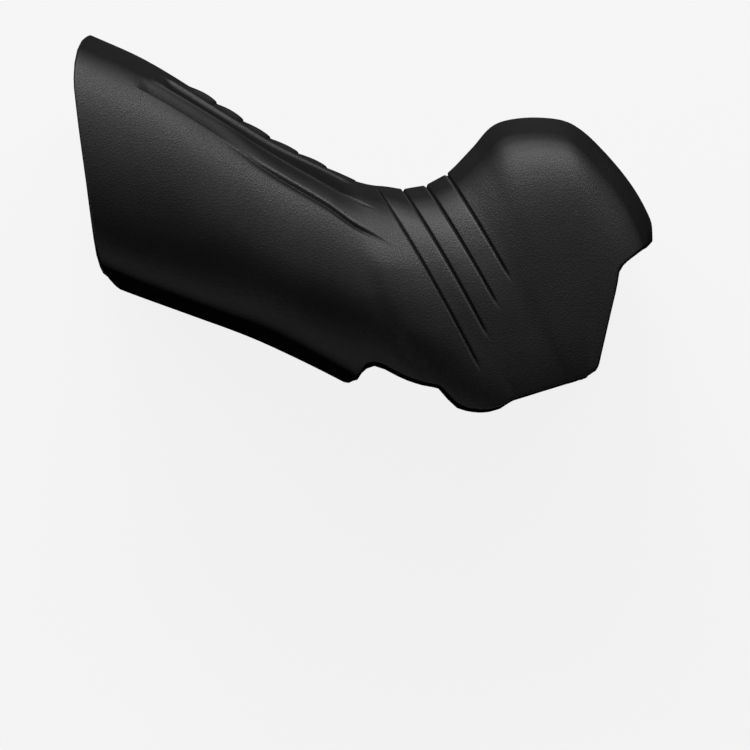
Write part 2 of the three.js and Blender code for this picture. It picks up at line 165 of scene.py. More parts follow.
def skin(place, angle, depth=0.0):
    """Points of the sleeve as x to the nose, y across and z up, in millimetres."""
    side = np.sin(angle)
    level = np.cos(angle)
    share = waist(place)
    dx = keel_x(place) - ridge_x(place)
    dz = keel_z(place) - ridge_z(place)
    height = np.hypot(dx, dz)
    above = share - depth * slant(ridge_x, ridge_z, place, dx, dz) / height
    below = 1 - share - depth * slant(keel_x, keel_z, place, dx, dz) / height
    drop = share - np.where(level > 0, above, below) * level
    fill = np.where(level > 0, crown(place), taper(place))
    width = (half_width(place) - depth) * side * (1 - fill * level * level)
    forward = 4 * drop * (1 - drop) * bow(place) / height
    x = ridge_x(place) + dx * drop - dz * forward
    z = ridge_z(place) + dz * drop + dx * forward
    return np.stack([x, width, z], axis=-1)


def skin_frame(place, angle):
    """Directions along the ridge and round the section, per millimetre and radian, and the normal."""
    turn = STEP / 10
    ahead = (skin(place + STEP, angle) - skin(place - STEP, angle)) / (2 * STEP)
    around = (skin(place, angle + turn) - skin(place, angle - turn)) / (2 * turn)
    normal = np.cross(ahead, around)
    return ahead, around, normal / np.linalg.norm(normal, axis=-1, keepdims=True)


print("side of the grip:", skin(places[GRIP], math.pi / 2).round(2))

# %% [markdown]
# ## Where the sleeve is cut
# A moulded sleeve ends in clean edges. In side view they are three outlines: the slanted rear mouth, the
# scalloped lower edge that opens behind the nose, and the front edge under the nose. Cutting with a
# boolean would leave ragged triangles, so the rows of the mesh are slid to these outlines instead.

# %% Outlines of the edges
REAR_RIM = [
    (-46.0, 35.5), (-49.6, 33.9), (-50.5, 32.7), (-51.1, 31.0), (-51.5, 28.4), (-51.6, 25.6),
    (-51.5, 23.6), (-50.7, 16.8), (-47.9, -4.8), (-47.5, -6.9), (-46.9, -8.6), (-46.1, -10.1),
    (-45.0, -11.4), (-43.6, -12.5), (-42.0, -13.2),
]
FRONT_EDGE = [
    (53.0, -3.1), (51.5, -3.8), (50.5, -4.3), (48.6, -5.6), (46.5, -7.2), (45.3, -8.4), (45.0, -9.2),
    (44.6, -11.9), (41.7, -24.3), (41.4, -25.6), (40.9, -26.6), (40.0, -28.0),
]
LOWER_EDGE = [
    (-4.4, -28.7), (-2.8, -29.0), (-1.4, -28.3), (0.2, -25.7), (1.5, -25.3), (2.9, -25.6),
    (6.3, -27.4), (8.4, -28.3), (10.4, -28.9), (13.5, -29.5), (15.8, -32.2), (16.8, -33.0),
    (18.7, -33.6), (20.8, -33.8), (22.2, -33.7), (24.1, -33.2), (26.3, -31.8), (39.2, -27.8),
    (40.1, -27.2), (40.9, -26.6), (45.0, -23.0),
]
MOUTH_TOP = 25.0
MOUTH_FOOT = -5.0


def outline_reader(points, along, across):
    """Straight steps through an outline, read along one of its axes and carried on past its ends."""
    points = np.array(sorted(points, key=lambda point: point[along]))
    at, value = points[:, along], points[:, across]

    def read(place):
        k = np.clip(np.searchsorted(at, place) - 1, 0, len(at) - 2)
        return value[k] + (place - at[k]) / (at[k + 1] - at[k]) * (value[k + 1] - value[k])

    return read


rear_rim_x = outline_reader(REAR_RIM, 1, 0)
front_edge_x = outline_reader(FRONT_EDGE, 1, 0)
lower_edge_z = outline_reader(LOWER_EDGE, 0, 1)
print("rear mouth leans", round(float(rear_rim_x(MOUTH_TOP) - rear_rim_x(MOUTH_FOOT)), 1), "mm")

# %% Find where a line of the skin leaves an outline
SEARCH_STEPS = 120
HALVINGS = 30


def first_border(start, end, inside):
    """First change of a test on the way from start to end, for arrays of starts and ends."""
    start, end = [np.array(v, float) for v in np.broadcast_arrays(start, end)]
    near, far = start.copy(), end.copy()
    before = start.copy()
    found = np.zeros(start.shape, bool)
    for n in range(1, SEARCH_STEPS + 1):
        here = start + (end - start) * n / SEARCH_STEPS
        hit = ~found & ~inside(here)
        near[hit], far[hit] = before[hit], here[hit]
        found |= hit
        before = here
    for _ in range(HALVINGS):
        middle = (near + far) / 2
        good = inside(middle)
        near, far = np.where(good, middle, near), np.where(good, far, middle)
    return np.where(found, near, end)


# %% [markdown]
# ## One trimmed layer
# Rows of the mesh run along the sleeve. They are numbered by what they follow: 0 is the ridge, 1 to 3
# are the long lines and 4 is the lower edge, or the keel where the tube is closed. A row can also run a
# few tenths of a millimetre beside one of these, which puts fine steps exactly where they are needed.
# Where two lines come close, such rows may fill only a share of the room between them, and they draw
# together, because rows that cross would fold the mesh over.

# %% Rows and their ends
RIM = 4
TABLE_SIZE = 900
NEAR_LINE = (-0.95, -0.65, -0.42, -0.24, -0.1, 0.04, 0.18, 0.34, 0.55, 0.8, 1.1)
EDGE_STEPS = (0.0, 0.03, 0.1, 0.2, 0.33, 0.5)
ROOM_ABOVE = {1: 0.12, 2: 0.3, 3: 0.3, 4: 0.024}
ROOM_BELOW_LINE = 0.04


def above_lower_edge(points):
    return points[..., 2] > lower_edge_z(points[..., 0])


class Layer:
    """The outer or inner skin at its depth, with its lower edge and the ends of its rows."""

    def __init__(self, depth):
        self.depth = depth
        opening = first_border(places[BAND_END - 1], places[NECK], self.keel_clear)
        self.band_end = float(opening)
        reach = np.linspace(0, 1, TABLE_SIZE) ** 2
        self.table = self.band_end + (places[-1] - self.band_end) * reach
        self.edge_angles = first_border(
            np.full(TABLE_SIZE, math.pi / 2),
            np.full(TABLE_SIZE, math.pi),
            lambda angle: above_lower_edge(skin(self.table, angle, self.depth)),
        )

    def keel_clear(self, place):
        """Whether the tube is still closed below at a place along the ridge."""
        points = skin(place, math.pi, self.depth)
        return above_lower_edge(points) | (points[..., 0] < LOWER_EDGE[0][0])

    def last_angle(self, place):
        """Angle of the lowest row: the keel of the closed tube, or the lower edge where it is open."""
        return np.where(place <= self.band_end, math.pi, np.interp(place, self.table, self.edge_angles))

    def angle(self, place, at, away):
        """Angle of rows at a share of the way between marks, and the millimetres beside it."""
        marks = [np.zeros_like(place), *[line(place) for line in line_angles], self.last_angle(place)]
        marks = np.stack(marks)
        k = np.broadcast_to(np.minimum(np.floor(at), RIM - 1).astype(int), place.shape)
        low = np.take_along_axis(marks, k[None], 0)[0]
        high = np.take_along_axis(marks, k[None] + 1, 0)[0]
        angle = low + (high - low) * (at - k)
        length = np.linalg.norm(skin_frame(place, angle)[1], axis=-1)
        near_rim = at == RIM - 1
        narrowing = np.ones_like(angle)
        for line in range(1, RIM + 1):
            above = ROOM_ABOVE[line] * (marks[line] - marks[line - 1]) * length
            farthest = EDGE_STEPS[-1] if line == RIM else -NEAR_LINE[0]
            close = np.minimum(1, above / farthest)
            narrowing = np.where((at == line) & (away < 0), close, narrowing)
        below = ROOM_BELOW_LINE * (marks[RIM] - marks[RIM - 1]) * length
        close = np.minimum(1, below / NEAR_LINE[-1])
        narrowing = np.where(near_rim & (away > 0), close, narrowing)
        return angle + away * narrowing / length

    def row_ends(self, at, away):
        """Places where rows meet the rear rim and the front edge."""
        middle = np.full(len(at), places[BAND_END])

        def point(place):
            return skin(place, self.angle(place, at, away), self.depth)

        def behind_front(place):
            p = point(place)
            return (p[:, 2] > FRONT_EDGE[0][1]) | (p[:, 0] < front_edge_x(p[:, 2]))

        def ahead_of_rear(place):
            p = point(place)
            return p[:, 0] > rear_rim_x(p[:, 2])

        rear = first_border(middle, np.full(len(at), places[0]), ahead_of_rear)
        front = first_border(middle, np.full(len(at), places[-1]), behind_front)
        return rear, front


outer = Layer(0.0)
inner = Layer(WALL)
print("tube closed up to", round(outer.band_end, 2), "mm along the ridge")

# %% [markdown]
# ## Steps where the detail is
# The pads, lines and slashes are half a millimetre deep, so the mesh is fine at them and coarse on the
# plain flanks. A walk from one end to the other takes short steps near marks and long ones elsewhere,
# which spends the triangles where they show.

# %% Spacing helpers
STEP_GROWTH = 0.35


def walk(start, end, step, marks):
    """Places from start to end, with the step shortened to fine within reach of each (mark, fine, reach)."""
    found = [start]
    while found[-1] < end:
        here = found[-1]
        sizes = [step]
        for mark, fine, reach in marks:
            step_here = fine + max(abs(here - mark) - reach, 0) * STEP_GROWTH
            sizes.append(step_here)
        found.append(here + min(sizes))
    found[-1] = end
    return np.array(found)


PAD_COUNT = 6
PAD_PITCH = 5.75
FIRST_PAD = 26.2
PAD_DROP = 2.2
PAD_FOOT = 0.3
PAD_SWEEP = 1.6
pad_feet = places[REAR_TIP] + FIRST_PAD + PAD_PITCH * np.arange(PAD_COUNT)
slashes = places[SLASH_STATIONS]
print("feet of the pads, mm:", pad_feet.round(1))

# %% [markdown]
# At the neck the sections fan out: the ridge moves a little from one to the next, and the keel moves a
# lot. The columns are close together on the ridge there, so that they aren't too far apart below.
# Each pair of values that starts with AT is the fine step at a mark and how far it reaches, in millimetres.

# %% Columns and rows of the outer skin
COLUMN_STEP = 0.75
AT_ENDS = (0.06, 0.4)
AT_PADS = (0.14, 0.45)
AT_SLASHES = (0.1, 0.45)
AT_OPENING = (0.09, 0.5)
AT_FAN = (0.075, 1.0)
ROWS_ON_PADS = np.linspace(0, 0.86, 12)
ROWS_AFTER_LINE = {1: (1.42, 1.53, 1.64), 2: (2.36, 2.5, 2.64), 3: np.linspace(3.05, 3.97, 48)}

front_at_ridge = float(outer.row_ends(np.zeros(1), np.zeros(1))[1][0])
fan_middle = (places[NECK] + places[NECK + 1]) / 2
column_marks = [(places[REAR_TIP], *AT_ENDS), (front_at_ridge, *AT_ENDS)]
column_marks += [(foot - PAD_FOOT, *AT_PADS) for foot in pad_feet]
column_marks += [(slash, *AT_SLASHES) for slash in slashes]
column_marks += [(outer.band_end, *AT_OPENING), (fan_middle, *AT_FAN)]
columns = walk(places[REAR_TIP], front_at_ridge, COLUMN_STEP, column_marks)

rows = [(at, 0.0) for at in ROWS_ON_PADS]
for line, rows_after in ROWS_AFTER_LINE.items():
    rows += [(line, away) for away in NEAR_LINE]
    rows += [(at, 0.0) for at in rows_after]
rows += [(RIM, -away) for away in reversed(EDGE_STEPS)]
rows = np.array(rows)
print(len(columns), "columns and", len(rows), "rows")

# %% Lay out one layer
REAR_SLIDE = 26
FRONT_SLIDE = 50
FRONT_BEND = 1.5


def lay_out(layer, columns, rows):
    """Places and angles of a layer's grid, with both ends of each row slid to the trimmed edges."""
    at, away = rows[:, 0], rows[:, 1]
    rear, front = layer.row_ends(at, away)
    first, last = columns[0], columns[-1]
    rear_fade = np.clip(1 - (columns - first) / REAR_SLIDE, 0, 1)[:, None] ** 2
    front_fade = np.clip(1 - (last - columns) / FRONT_SLIDE, 0, 1)[:, None] ** FRONT_BEND
    place = columns[:, None] + (rear - first) * rear_fade + (front - last) * front_fade
    angle = layer.angle(place, at[None], away[None])
    print("shortest step along a row, mm:", round(float(np.diff(place, axis=0).min()), 3))
    return place, angle


outer_place, outer_angle = lay_out(outer, columns, rows)
print("outer grid:", outer_place.shape)

# %% [markdown]
# ## Relief
# Everything that breaks the smooth surface is a height along its normal. Smooth ramps and bell curves
# of the distance from each feature draw rounded edges, as a polished steel mould leaves them. Heights
# simply add up, so each feature gets its own small function.

# %% Ramps and bells
def ramp(value, low, high):
    t = np.clip((value - low) / (high - low), 0, 1)
    return t * t * (3 - 2 * t)


def bell(value, width):
    return np.exp(-((value / width) ** 2))


ahead, around, normals = skin_frame(outer_place, outer_angle)
around_length = np.linalg.norm(around, axis=-1)
from_tip = outer_place - places[REAR_TIP]
line_at = [line(outer_place) for line in line_angles]
from_line = [(outer_angle - line) * around_length for line in line_at]
print("widest step round the section, mm:", round(float(around_length.max()), 1))

# %% [markdown]
# The top of the grip has six low pads, so that a thumb doesn't slip. Each rises slowly towards the nose,
# ends in a round shoulder with a small step whose ends sweep back, and is lower than the one behind it.

# %% Pads on the top
PAD_HEIGHT = 0.5
PAD_FADE = 0.5
SHOULDER_BEND = 0.92
PAD_SIDE = (0.7, 1.0)


def pad_relief():
    across = outer_angle / line_at[0]
    run = (outer_place + PAD_SWEEP * across**2 - pad_feet[0]) / PAD_PITCH + 1
    pad = np.floor(run)
    t = (run - pad) * PAD_PITCH
    rise = np.sin(math.pi / 2 * np.clip(t / (PAD_PITCH - PAD_DROP), 0, 1))
    shoulder = np.clip((t - PAD_PITCH + PAD_DROP) / PAD_DROP, 0, 1)
    fall = np.sqrt(1 - SHOULDER_BEND * shoulder**2) * ramp(PAD_PITCH - t, 0, PAD_FOOT)
    height = PAD_HEIGHT * (1 - PAD_FADE * pad / PAD_COUNT)
    on_pad = (pad >= 0) & (pad < PAD_COUNT)
    return np.where(on_pad, height * rise * fall * (1 - ramp(across, *PAD_SIDE)), 0)


pads = pad_relief()
print("highest pad, mm:", round(float(pads.max()), 2))

# %% [markdown]
# Three long lines run from the rear down the grip to the neck on each side. The upper one is a soft
# ridge beside the pads, with a shallow flute under it. The middle one turns from a raised edge to a
# narrow groove. The lower one starts as the edge of a sunk strip, and ends as a wide groove under a
# strip that swells.

# %% How the long lines fade and turn over
LINE_SPANS = [(14.5, 55.6), (11.5, 57.0), (9.0, 57.6)]
LINE_START_FADE = 2.0
LINE_END_FADE = 4.0
TURNOVER = (24.0, 40.0)
forward = ramp(from_tip, *TURNOVER)
spans = [
    ramp(from_tip, start, start + LINE_START_FADE) * ramp(-from_tip, -end, LINE_END_FADE - end)
    for start, end in LINE_SPANS
]
print("share of the grid behind the turnover:", round(float((forward < 0.5).mean()), 2))

# %% Heights of the long lines
BANK = (-0.22, 0.16)
RIDGE_HEIGHT = 0.32
RIDGE_WIDTH = 0.45
FLUTE_DEPTH = 0.3
FLUTE_SLOPE = (0.0, 0.6)
RAISED_HEIGHT = 0.1
RAISED_BELOW = 0.2
RAISED_WIDTH = 0.3
GROOVE_DEPTH = 0.36
GROOVE_WIDTH = 0.26
STRIP_SLOPE = (0.1, 1.0)
STRIP_DEPTH = 0.4
SWELL_HEIGHT = 0.28
SWELL_BANK = (-0.15, 0.5)
WIDE_GROOVE_DEPTH = 0.26
WIDE_GROOVE_BELOW = 0.6
WIDE_GROOVE_WIDTH = 0.5


def share_below(k):
    """Share of the way down from one long line to the next."""
    return np.clip((outer_angle - line_at[k]) / (line_at[k + 1] - line_at[k]), 0, 1)


def upper_line():
    flute = ramp(share_below(0), *FLUTE_SLOPE) * (1 - ramp(from_line[1], *BANK))
    return RIDGE_HEIGHT * bell(from_line[0], RIDGE_WIDTH) - FLUTE_DEPTH * flute


def middle_line():
    edge = RAISED_HEIGHT * bell(from_line[1] - RAISED_BELOW, RAISED_WIDTH)
    groove = GROOVE_DEPTH * bell(from_line[1], GROOVE_WIDTH)
    return edge * (1 - forward) - groove * forward


def lower_line():
    strip = ramp(share_below(1), *STRIP_SLOPE)
    sunk = -STRIP_DEPTH * strip * (1 - ramp(from_line[2], *BANK))
    swell = SWELL_HEIGHT * strip * (1 - ramp(from_line[2], *SWELL_BANK))
    groove = WIDE_GROOVE_DEPTH * bell(from_line[2] - WIDE_GROOVE_BELOW, WIDE_GROOVE_WIDTH)
    return sunk * (1 - forward) + (swell - groove) * forward


lines = spans[0] * upper_line() + spans[1] * middle_line() + spans[2] * lower_line()
print("deepest line, mm:", round(float(-lines.min()), 2))

# %% [markdown]
# Where a line has a raised edge, hands wear the rubber. The mask of these edges follows them as they move
# from one side of the line to the other, and the finish lightens the colour there: partly wear, partly a
# painted highlight on edges that face the light.

# %% Worn edges of the long lines, also lit as a painted highlight
UPPER_EDGE_BELOW = -0.1
UPPER_EDGE_WIDTH = 0.26
EDGE_BELOW = 0.05
EDGE_WIDTH = 0.2
MIDDLE_EDGE_SHIFT = 0.4
MIDDLE_EDGE_LOSS = 0.4
SWELL_EDGE_BELOW = -0.35
SWELL_EDGE_SHARE = 0.8


def line_edge_wear_and_highlight():
    upper = bell(from_line[0] - UPPER_EDGE_BELOW, UPPER_EDGE_WIDTH)
    middle = bell(from_line[1] - EDGE_BELOW - MIDDLE_EDGE_SHIFT * forward, EDGE_WIDTH)
    middle = middle * (1 - MIDDLE_EDGE_LOSS * forward)
    sunk = bell(from_line[2] - EDGE_BELOW, EDGE_WIDTH)
    swell = SWELL_EDGE_SHARE * bell(from_line[2] - SWELL_EDGE_BELOW, EDGE_WIDTH)
    lower = sunk * (1 - forward) + swell * forward
    return spans[0] * upper + spans[1] * middle + spans[2] * lower


line_edges = line_edge_wear_and_highlight()
print("share of worn line edges:", round(float(line_edges.mean()), 3))

# %% [markdown]
# Where the neck swells towards the lower edge, a soft fold slants down the flank. Behind it the rubber
# lies lower and turns away from the light, and in front of it the swelling fades into the cheek.

# %% Fold on the flank
FOLD = [(-1.6, -1.0), (-0.9, -4.7), (2.2, -13.1), (5.0, -19.1), (8.1, -24.5), (14.0, -29.3)]
FOLD_HEIGHT = 0.6
FOLD_RISE = (-1.0, 2.4)
FOLD_FADE = (2.0, 13.0)
FOLD_SLANT = 0.85
FOLD_TOP = (2.0, 9.0)
FOLD_BOTTOM = (19.0, 27.0)


def fold_relief():
    points = skin(outer_place, outer_angle)
    x, z = points[..., 0], points[..., 2]
    fold_x = outline_reader(FOLD, 1, 0)
    ahead_of_fold = (x - fold_x(np.minimum(z, FOLD[0][1]))) * FOLD_SLANT
    height = FOLD_HEIGHT * ramp(ahead_of_fold, *FOLD_RISE) * (1 - ramp(ahead_of_fold, *FOLD_FADE))
    return height * ramp(-z, *FOLD_TOP) * (1 - ramp(-z, *FOLD_BOTTOM))


fold = fold_relief()
print("highest part of the fold, mm:", round(float(fold.max()), 2))

# %% [markdown]
# Four slashes slant across the neck and taper out above the lower edge. The first one starts off the
# ridge, and the other three notch it. The strips of rubber between them are slightly rounded.

# %% Slashes across the neck
SLASH_DEPTH = 0.45
SLASH_WIDTH = 0.22
SLASH_SPANS = [(0.5, 3.72), (0.0, 3.55), (0.0, 3.4), (0.0, 3.3)]
SLASH_START_FADE = 0.25
SLASH_END_FADE = (-0.1, 0.02)
CUT_EDGE_BEHIND = 0.32
CUT_EDGE_WIDTH = 0.16
CROWN_HEIGHT = 0.16
CROWN_ENDS = [3.6, 3.45, 3.35]
CROWN_FADE = 0.5
row_at = np.broadcast_to(rows[:, 0], outer_place.shape)


def slash_relief():
    """Heights of the slashes and of the strips between them, and a mask of the rear edge of each slash."""
    across = np.linalg.norm(np.cross(ahead, around), axis=-1) / around_length
    height = np.zeros(outer_place.shape)
    edges = np.zeros(outer_place.shape)
    for slash, (start, end) in zip(slashes, SLASH_SPANS):
        reach = 1 - ramp(row_at - end, *SLASH_END_FADE)
        if start:
            reach = reach * ramp(row_at, start, start + SLASH_START_FADE)
        away = (outer_place - slash) * across
        height -= SLASH_DEPTH * bell(away, SLASH_WIDTH) * reach
        # The rear edge of each slash is lightened later: a painted highlight on the flank that faces the
        # light.
        edges += bell(away + CUT_EDGE_BEHIND, CUT_EDGE_WIDTH) * reach
    for rear, front, end in zip(slashes[:-1], slashes[1:], CROWN_ENDS):
        t = np.clip((outer_place - rear) / (front - rear), 0, 1)
        height += CROWN_HEIGHT * np.sin(math.pi * t) * (1 - ramp(row_at, end - CROWN_FADE, end))
    return height, edges


cuts, cut_edges = slash_relief()
relief = pads + lines + fold + cuts
print("slashes down to, mm:", round(float(-cuts.min()), 2))

# %% [markdown]
# ## Rounded edges
# Rubber that leaves a mould has no knife edge. Near each trimmed edge the surface is let down along a
# quarter circle, by its distance from the edge. A tree of points along the edge finds that distance.

# %% Round a layer off at its edges
EDGE_RADIUS = 0.5
EDGE_PARTS = 8
EDGE_FADE = (0.2, 1.6)
TOLERANCE = 1e-6


def open_edge(grid, layer, columns):
    """The rear mouth, lower edge and front edge of a layer's grid, of points or of vertex numbers."""
    opened = int(np.argmax(columns > layer.band_end + TOLERANCE))
    return [grid[0], grid[opened - 1:, -1], grid[-1, ::-1]]


def edge_distance(points, layer, columns):
    edge = np.concatenate(open_edge(points, layer, columns))
    shares = np.arange(EDGE_PARTS) / EDGE_PARTS
    parts = edge[:-1, None] + (edge[1:] - edge[:-1])[:, None] * shares[:, None]
    parts = parts.reshape(-1, 3)
    tree = KDTree(len(parts))
    for k, part in enumerate(parts):
        tree.insert(Vector(part), k)
    tree.balance()
    flat = points.reshape(-1, 3)
    return np.array([tree.find(Vector(p))[2] for p in flat]).reshape(points.shape[:2])


def let_down(distance):
    """Depth of a quarter circle of the edge's radius at a distance from the edge."""
    inside = np.clip(EDGE_RADIUS - distance, 0, EDGE_RADIUS)
    return EDGE_RADIUS - np.sqrt(EDGE_RADIUS**2 - inside**2)


smooth_points = skin(outer_place, outer_angle)
outer_distance = edge_distance(smooth_points, outer, columns)
edge_fade = ramp(outer_distance, *EDGE_FADE)
outer_points = smooth_points + normals * (relief * edge_fade - let_down(outer_distance))[..., None]
print("edge points rounded:", int((outer_distance < EDGE_RADIUS).sum()))

# %% [markdown]
# The inner skin is plain, so its rows and columns can be farther apart.

# %% Inner skin
INNER_STEP = 1.3
AT_INNER_ENDS = (0.1, 0.5)
AT_INNER_OPENING = (0.2, 0.8)
AT_INNER_FAN = (0.16, 1.0)
INNER_ROWS = np.linspace(0, 3.96, 44)

inner_front = float(inner.row_ends(np.zeros(1), np.zeros(1))[1][0])
inner_marks = [(places[REAR_TIP], *AT_INNER_ENDS), (inner_front, *AT_INNER_ENDS)]
inner_marks += [(inner.band_end, *AT_INNER_OPENING), (fan_middle, *AT_INNER_FAN)]
inner_columns = walk(places[REAR_TIP], inner_front, INNER_STEP, inner_marks)
inner_rows = [(at, 0.0) for at in INNER_ROWS]
inner_rows += [(RIM, -away) for away in reversed(EDGE_STEPS)]
inner_rows = np.array(inner_rows)
inner_place, inner_angle = lay_out(inner, inner_columns, inner_rows)
inner_smooth = skin(inner_place, inner_angle, WALL)
inner_normals = skin_frame(inner_place, inner_angle)[2]
inner_distance = edge_distance(inner_smooth, inner, inner_columns)
inner_points = inner_smooth + inner_normals * let_down(inner_distance)[..., None]
print("inner grid:", inner_place.shape)

# %% [markdown]
# ## The mesh
# Only one side is worked out, and the other is its mirror image, since a hood fits the left and the
# right lever alike. Both sides share the points on the ridge and on the closed keel, so the sleeve is
# one skin without a seam. Strips between the outer and the inner edges close the wall.

# %% Collect vertices and faces
PAST_END = 2.0
vertices = []
faces = []
face_inside = []


def add_grid(points, layer, columns, inward):
    """Adds both sides of a grid, and returns the vertex numbers as [column, row, side]."""
    count, rows_count = points.shape[:2]
    numbers = np.zeros((count, rows_count, 2), int)
    for i in range(count):
        closed = columns[i] <= layer.band_end + TOLERANCE
        for j in range(rows_count):
            x, y, z = points[i, j]
            shared = j == 0 or (closed and j == rows_count - 1)
            if shared:
                numbers[i, j] = len(vertices)
                vertices.append((x, 0.0, z))
            else:
                numbers[i, j] = len(vertices), len(vertices) + 1
                vertices.append((x, -y, z))
                vertices.append((x, y, z))
    for side in (0, 1):
        ids = numbers[:, :, side]
        corners = [ids[:-1, :-1], ids[1:, :-1], ids[1:, 1:], ids[:-1, 1:]]
        if (side == 0) != inward:
            corners.reverse()
        quads = np.stack(corners, axis=-1).reshape(-1, 4)
        faces.extend(quads.tolist())
        face_inside.extend([inward] * len(quads))
    return numbers


def shares_of(path):
    """How far along a path each of its points lies, from 0 to 1."""
    at = np.array([vertices[k] for k in path])
    lengths = np.concatenate([[0], np.cumsum(np.linalg.norm(np.diff(at, axis=0), axis=1))])
    return list(lengths / lengths[-1])


def add_strip(outside, inside, flip):
    """Triangles between two edges whose points don't match one to one. Past its end a path waits."""
    outside_at, inside_at = [shares_of(path) + [PAST_END] for path in (outside, inside)]
    i = j = 0
    while i < len(outside) - 1 or j < len(inside) - 1:
        if outside_at[i + 1] <= inside_at[j + 1]:
            made = [outside[i], outside[i + 1], inside[j]]
            i += 1
        else:
            made = [outside[i], inside[j + 1], inside[j]]
            j += 1
        if len(set(made)) == 3:
            faces.append(made[::-1] if flip else made)
            face_inside.append(False)


outer_numbers = add_grid(outer_points, outer, columns, False)
inner_numbers = add_grid(inner_points, inner, inner_columns, True)
for side in (0, 1):
    outside_paths = open_edge(outer_numbers[:, :, side], outer, columns)
    inside_paths = open_edge(inner_numbers[:, :, side], inner, inner_columns)
    for outside, inside in zip(outside_paths, inside_paths):
        add_strip(outside.tolist(), inside.tolist(), side == 0)
triangle_count = sum(len(face) - 2 for face in faces)
print(len(vertices), "vertices and", triangle_count, "triangles")

# %% [markdown]
# The sleeve was drawn upright. It can't stand like that, so it lies on its side on the table, as the
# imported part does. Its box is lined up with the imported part's box, so both are in the same place.

# %% Lay it down and make the object
upright = np.array(vertices) * MM
lying = np.stack([upright[:, 0], upright[:, 2], -upright[:, 1]], axis=-1)
low, high = lying.min(axis=0), lying.max(axis=0)
target_low, target_high = [np.array(corner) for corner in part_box("lever_hood")]
shift = (target_low + target_high) / 2 - (low + high) / 2
shift[2] = target_low[2] - low[2]
lying += shift

mesh = bpy.data.meshes.new("hood_skin")
mesh.from_pydata(lying.tolist(), [], faces)
mesh.polygons.foreach_set("use_smooth", [True] * len(faces))
mesh.polygons.foreach_set("material_index", [int(inside) for inside in face_inside])
mesh.update()
hood = bpy.data.objects.new("hood_skin", mesh)
bpy.context.scene.collection.objects.link(hood)
print("shift onto the packed part, mm:", (shift / MM).round(3))

# %% Masks for the finish: painted shade in hollows, wear and painted highlight on raised edges
HOLLOW_DEPTH = 0.4
CUT_EDGE_SHARE = 0.8
PAD_SHARE = 0.3
PAD_WEAR = (0.2, 0.5)


def paint(name, outer_mask):
    """Stores a mask from 0 to 1 on the outer skin's vertices, for the materials to read."""
    values = np.zeros(len(vertices), np.float32)
    for side in (0, 1):
        values[outer_numbers[:, :, side]] = outer_mask
    attribute = mesh.attributes.new(name, "FLOAT", "POINT")
    attribute.data.foreach_set("value", values)


# Painted shade: this mask darkens the colour in the hollows of the lines and slashes.
painted_shade_in_hollows = np.clip(-(lines + cuts) / HOLLOW_DEPTH, 0, 1) * edge_fade
# Wear and painted highlight: this mask lightens the colour on raised line edges and slash edges, and a
# little on the pads.
raised_wear_and_highlight = line_edges + CUT_EDGE_SHARE * cut_edges + PAD_SHARE * ramp(pads, *PAD_WEAR)
paint("hollow_painted_shade", painted_shade_in_hollows)
paint("raised_wear_and_highlight", np.clip(raised_wear_and_highlight, 0, 1))
print("share in hollows:", round(float(painted_shade_in_hollows.mean()), 3))

# %% [markdown]
# ## Rubber
# Hood rubber is matte and nearly black, with a fine leathery grain from the mould. Two effects make
# the finish: the grain itself, and the wear of hands, which polishes what stands out and lightens its
# colour, partly as wear and partly as a painted highlight, while the hollows get painted shade and shine
# less.
# Both are node groups, so the outside and the lining can share them.

# %% Node helpers
PER_MM = 1000.0


def new_group(name, inputs, outputs):
    group = bpy.data.node_groups.new(name, "ShaderNodeTree")
    for socket, kind, default in inputs:
        made = group.interface.new_socket(socket, in_out="INPUT", socket_type=kind)
        made.default_value = default
    for socket, kind in outputs:
        group.interface.new_socket(socket, in_out="OUTPUT", socket_type=kind)
    return group, group.nodes.new("NodeGroupInput"), group.nodes.new("NodeGroupOutput")


def add_node(tree, kind, values=None, **settings):
    node = tree.nodes.new(kind)
    for key, value in settings.items():
        setattr(node, key, value)
    for key, value in (values or {}).items():
        node.inputs[key].default_value = value
    return node


def chain(tree, *pairs):
    for source, target in pairs:
        tree.links.new(source, target)


# %% Leathery grain
WARP_SCALE = 0.9
WARP_REACH = 0.4 * MM
FINE_SCALE = 4.5
FINE_SHARE = 0.45
CREASE_WIDTH = 0.35


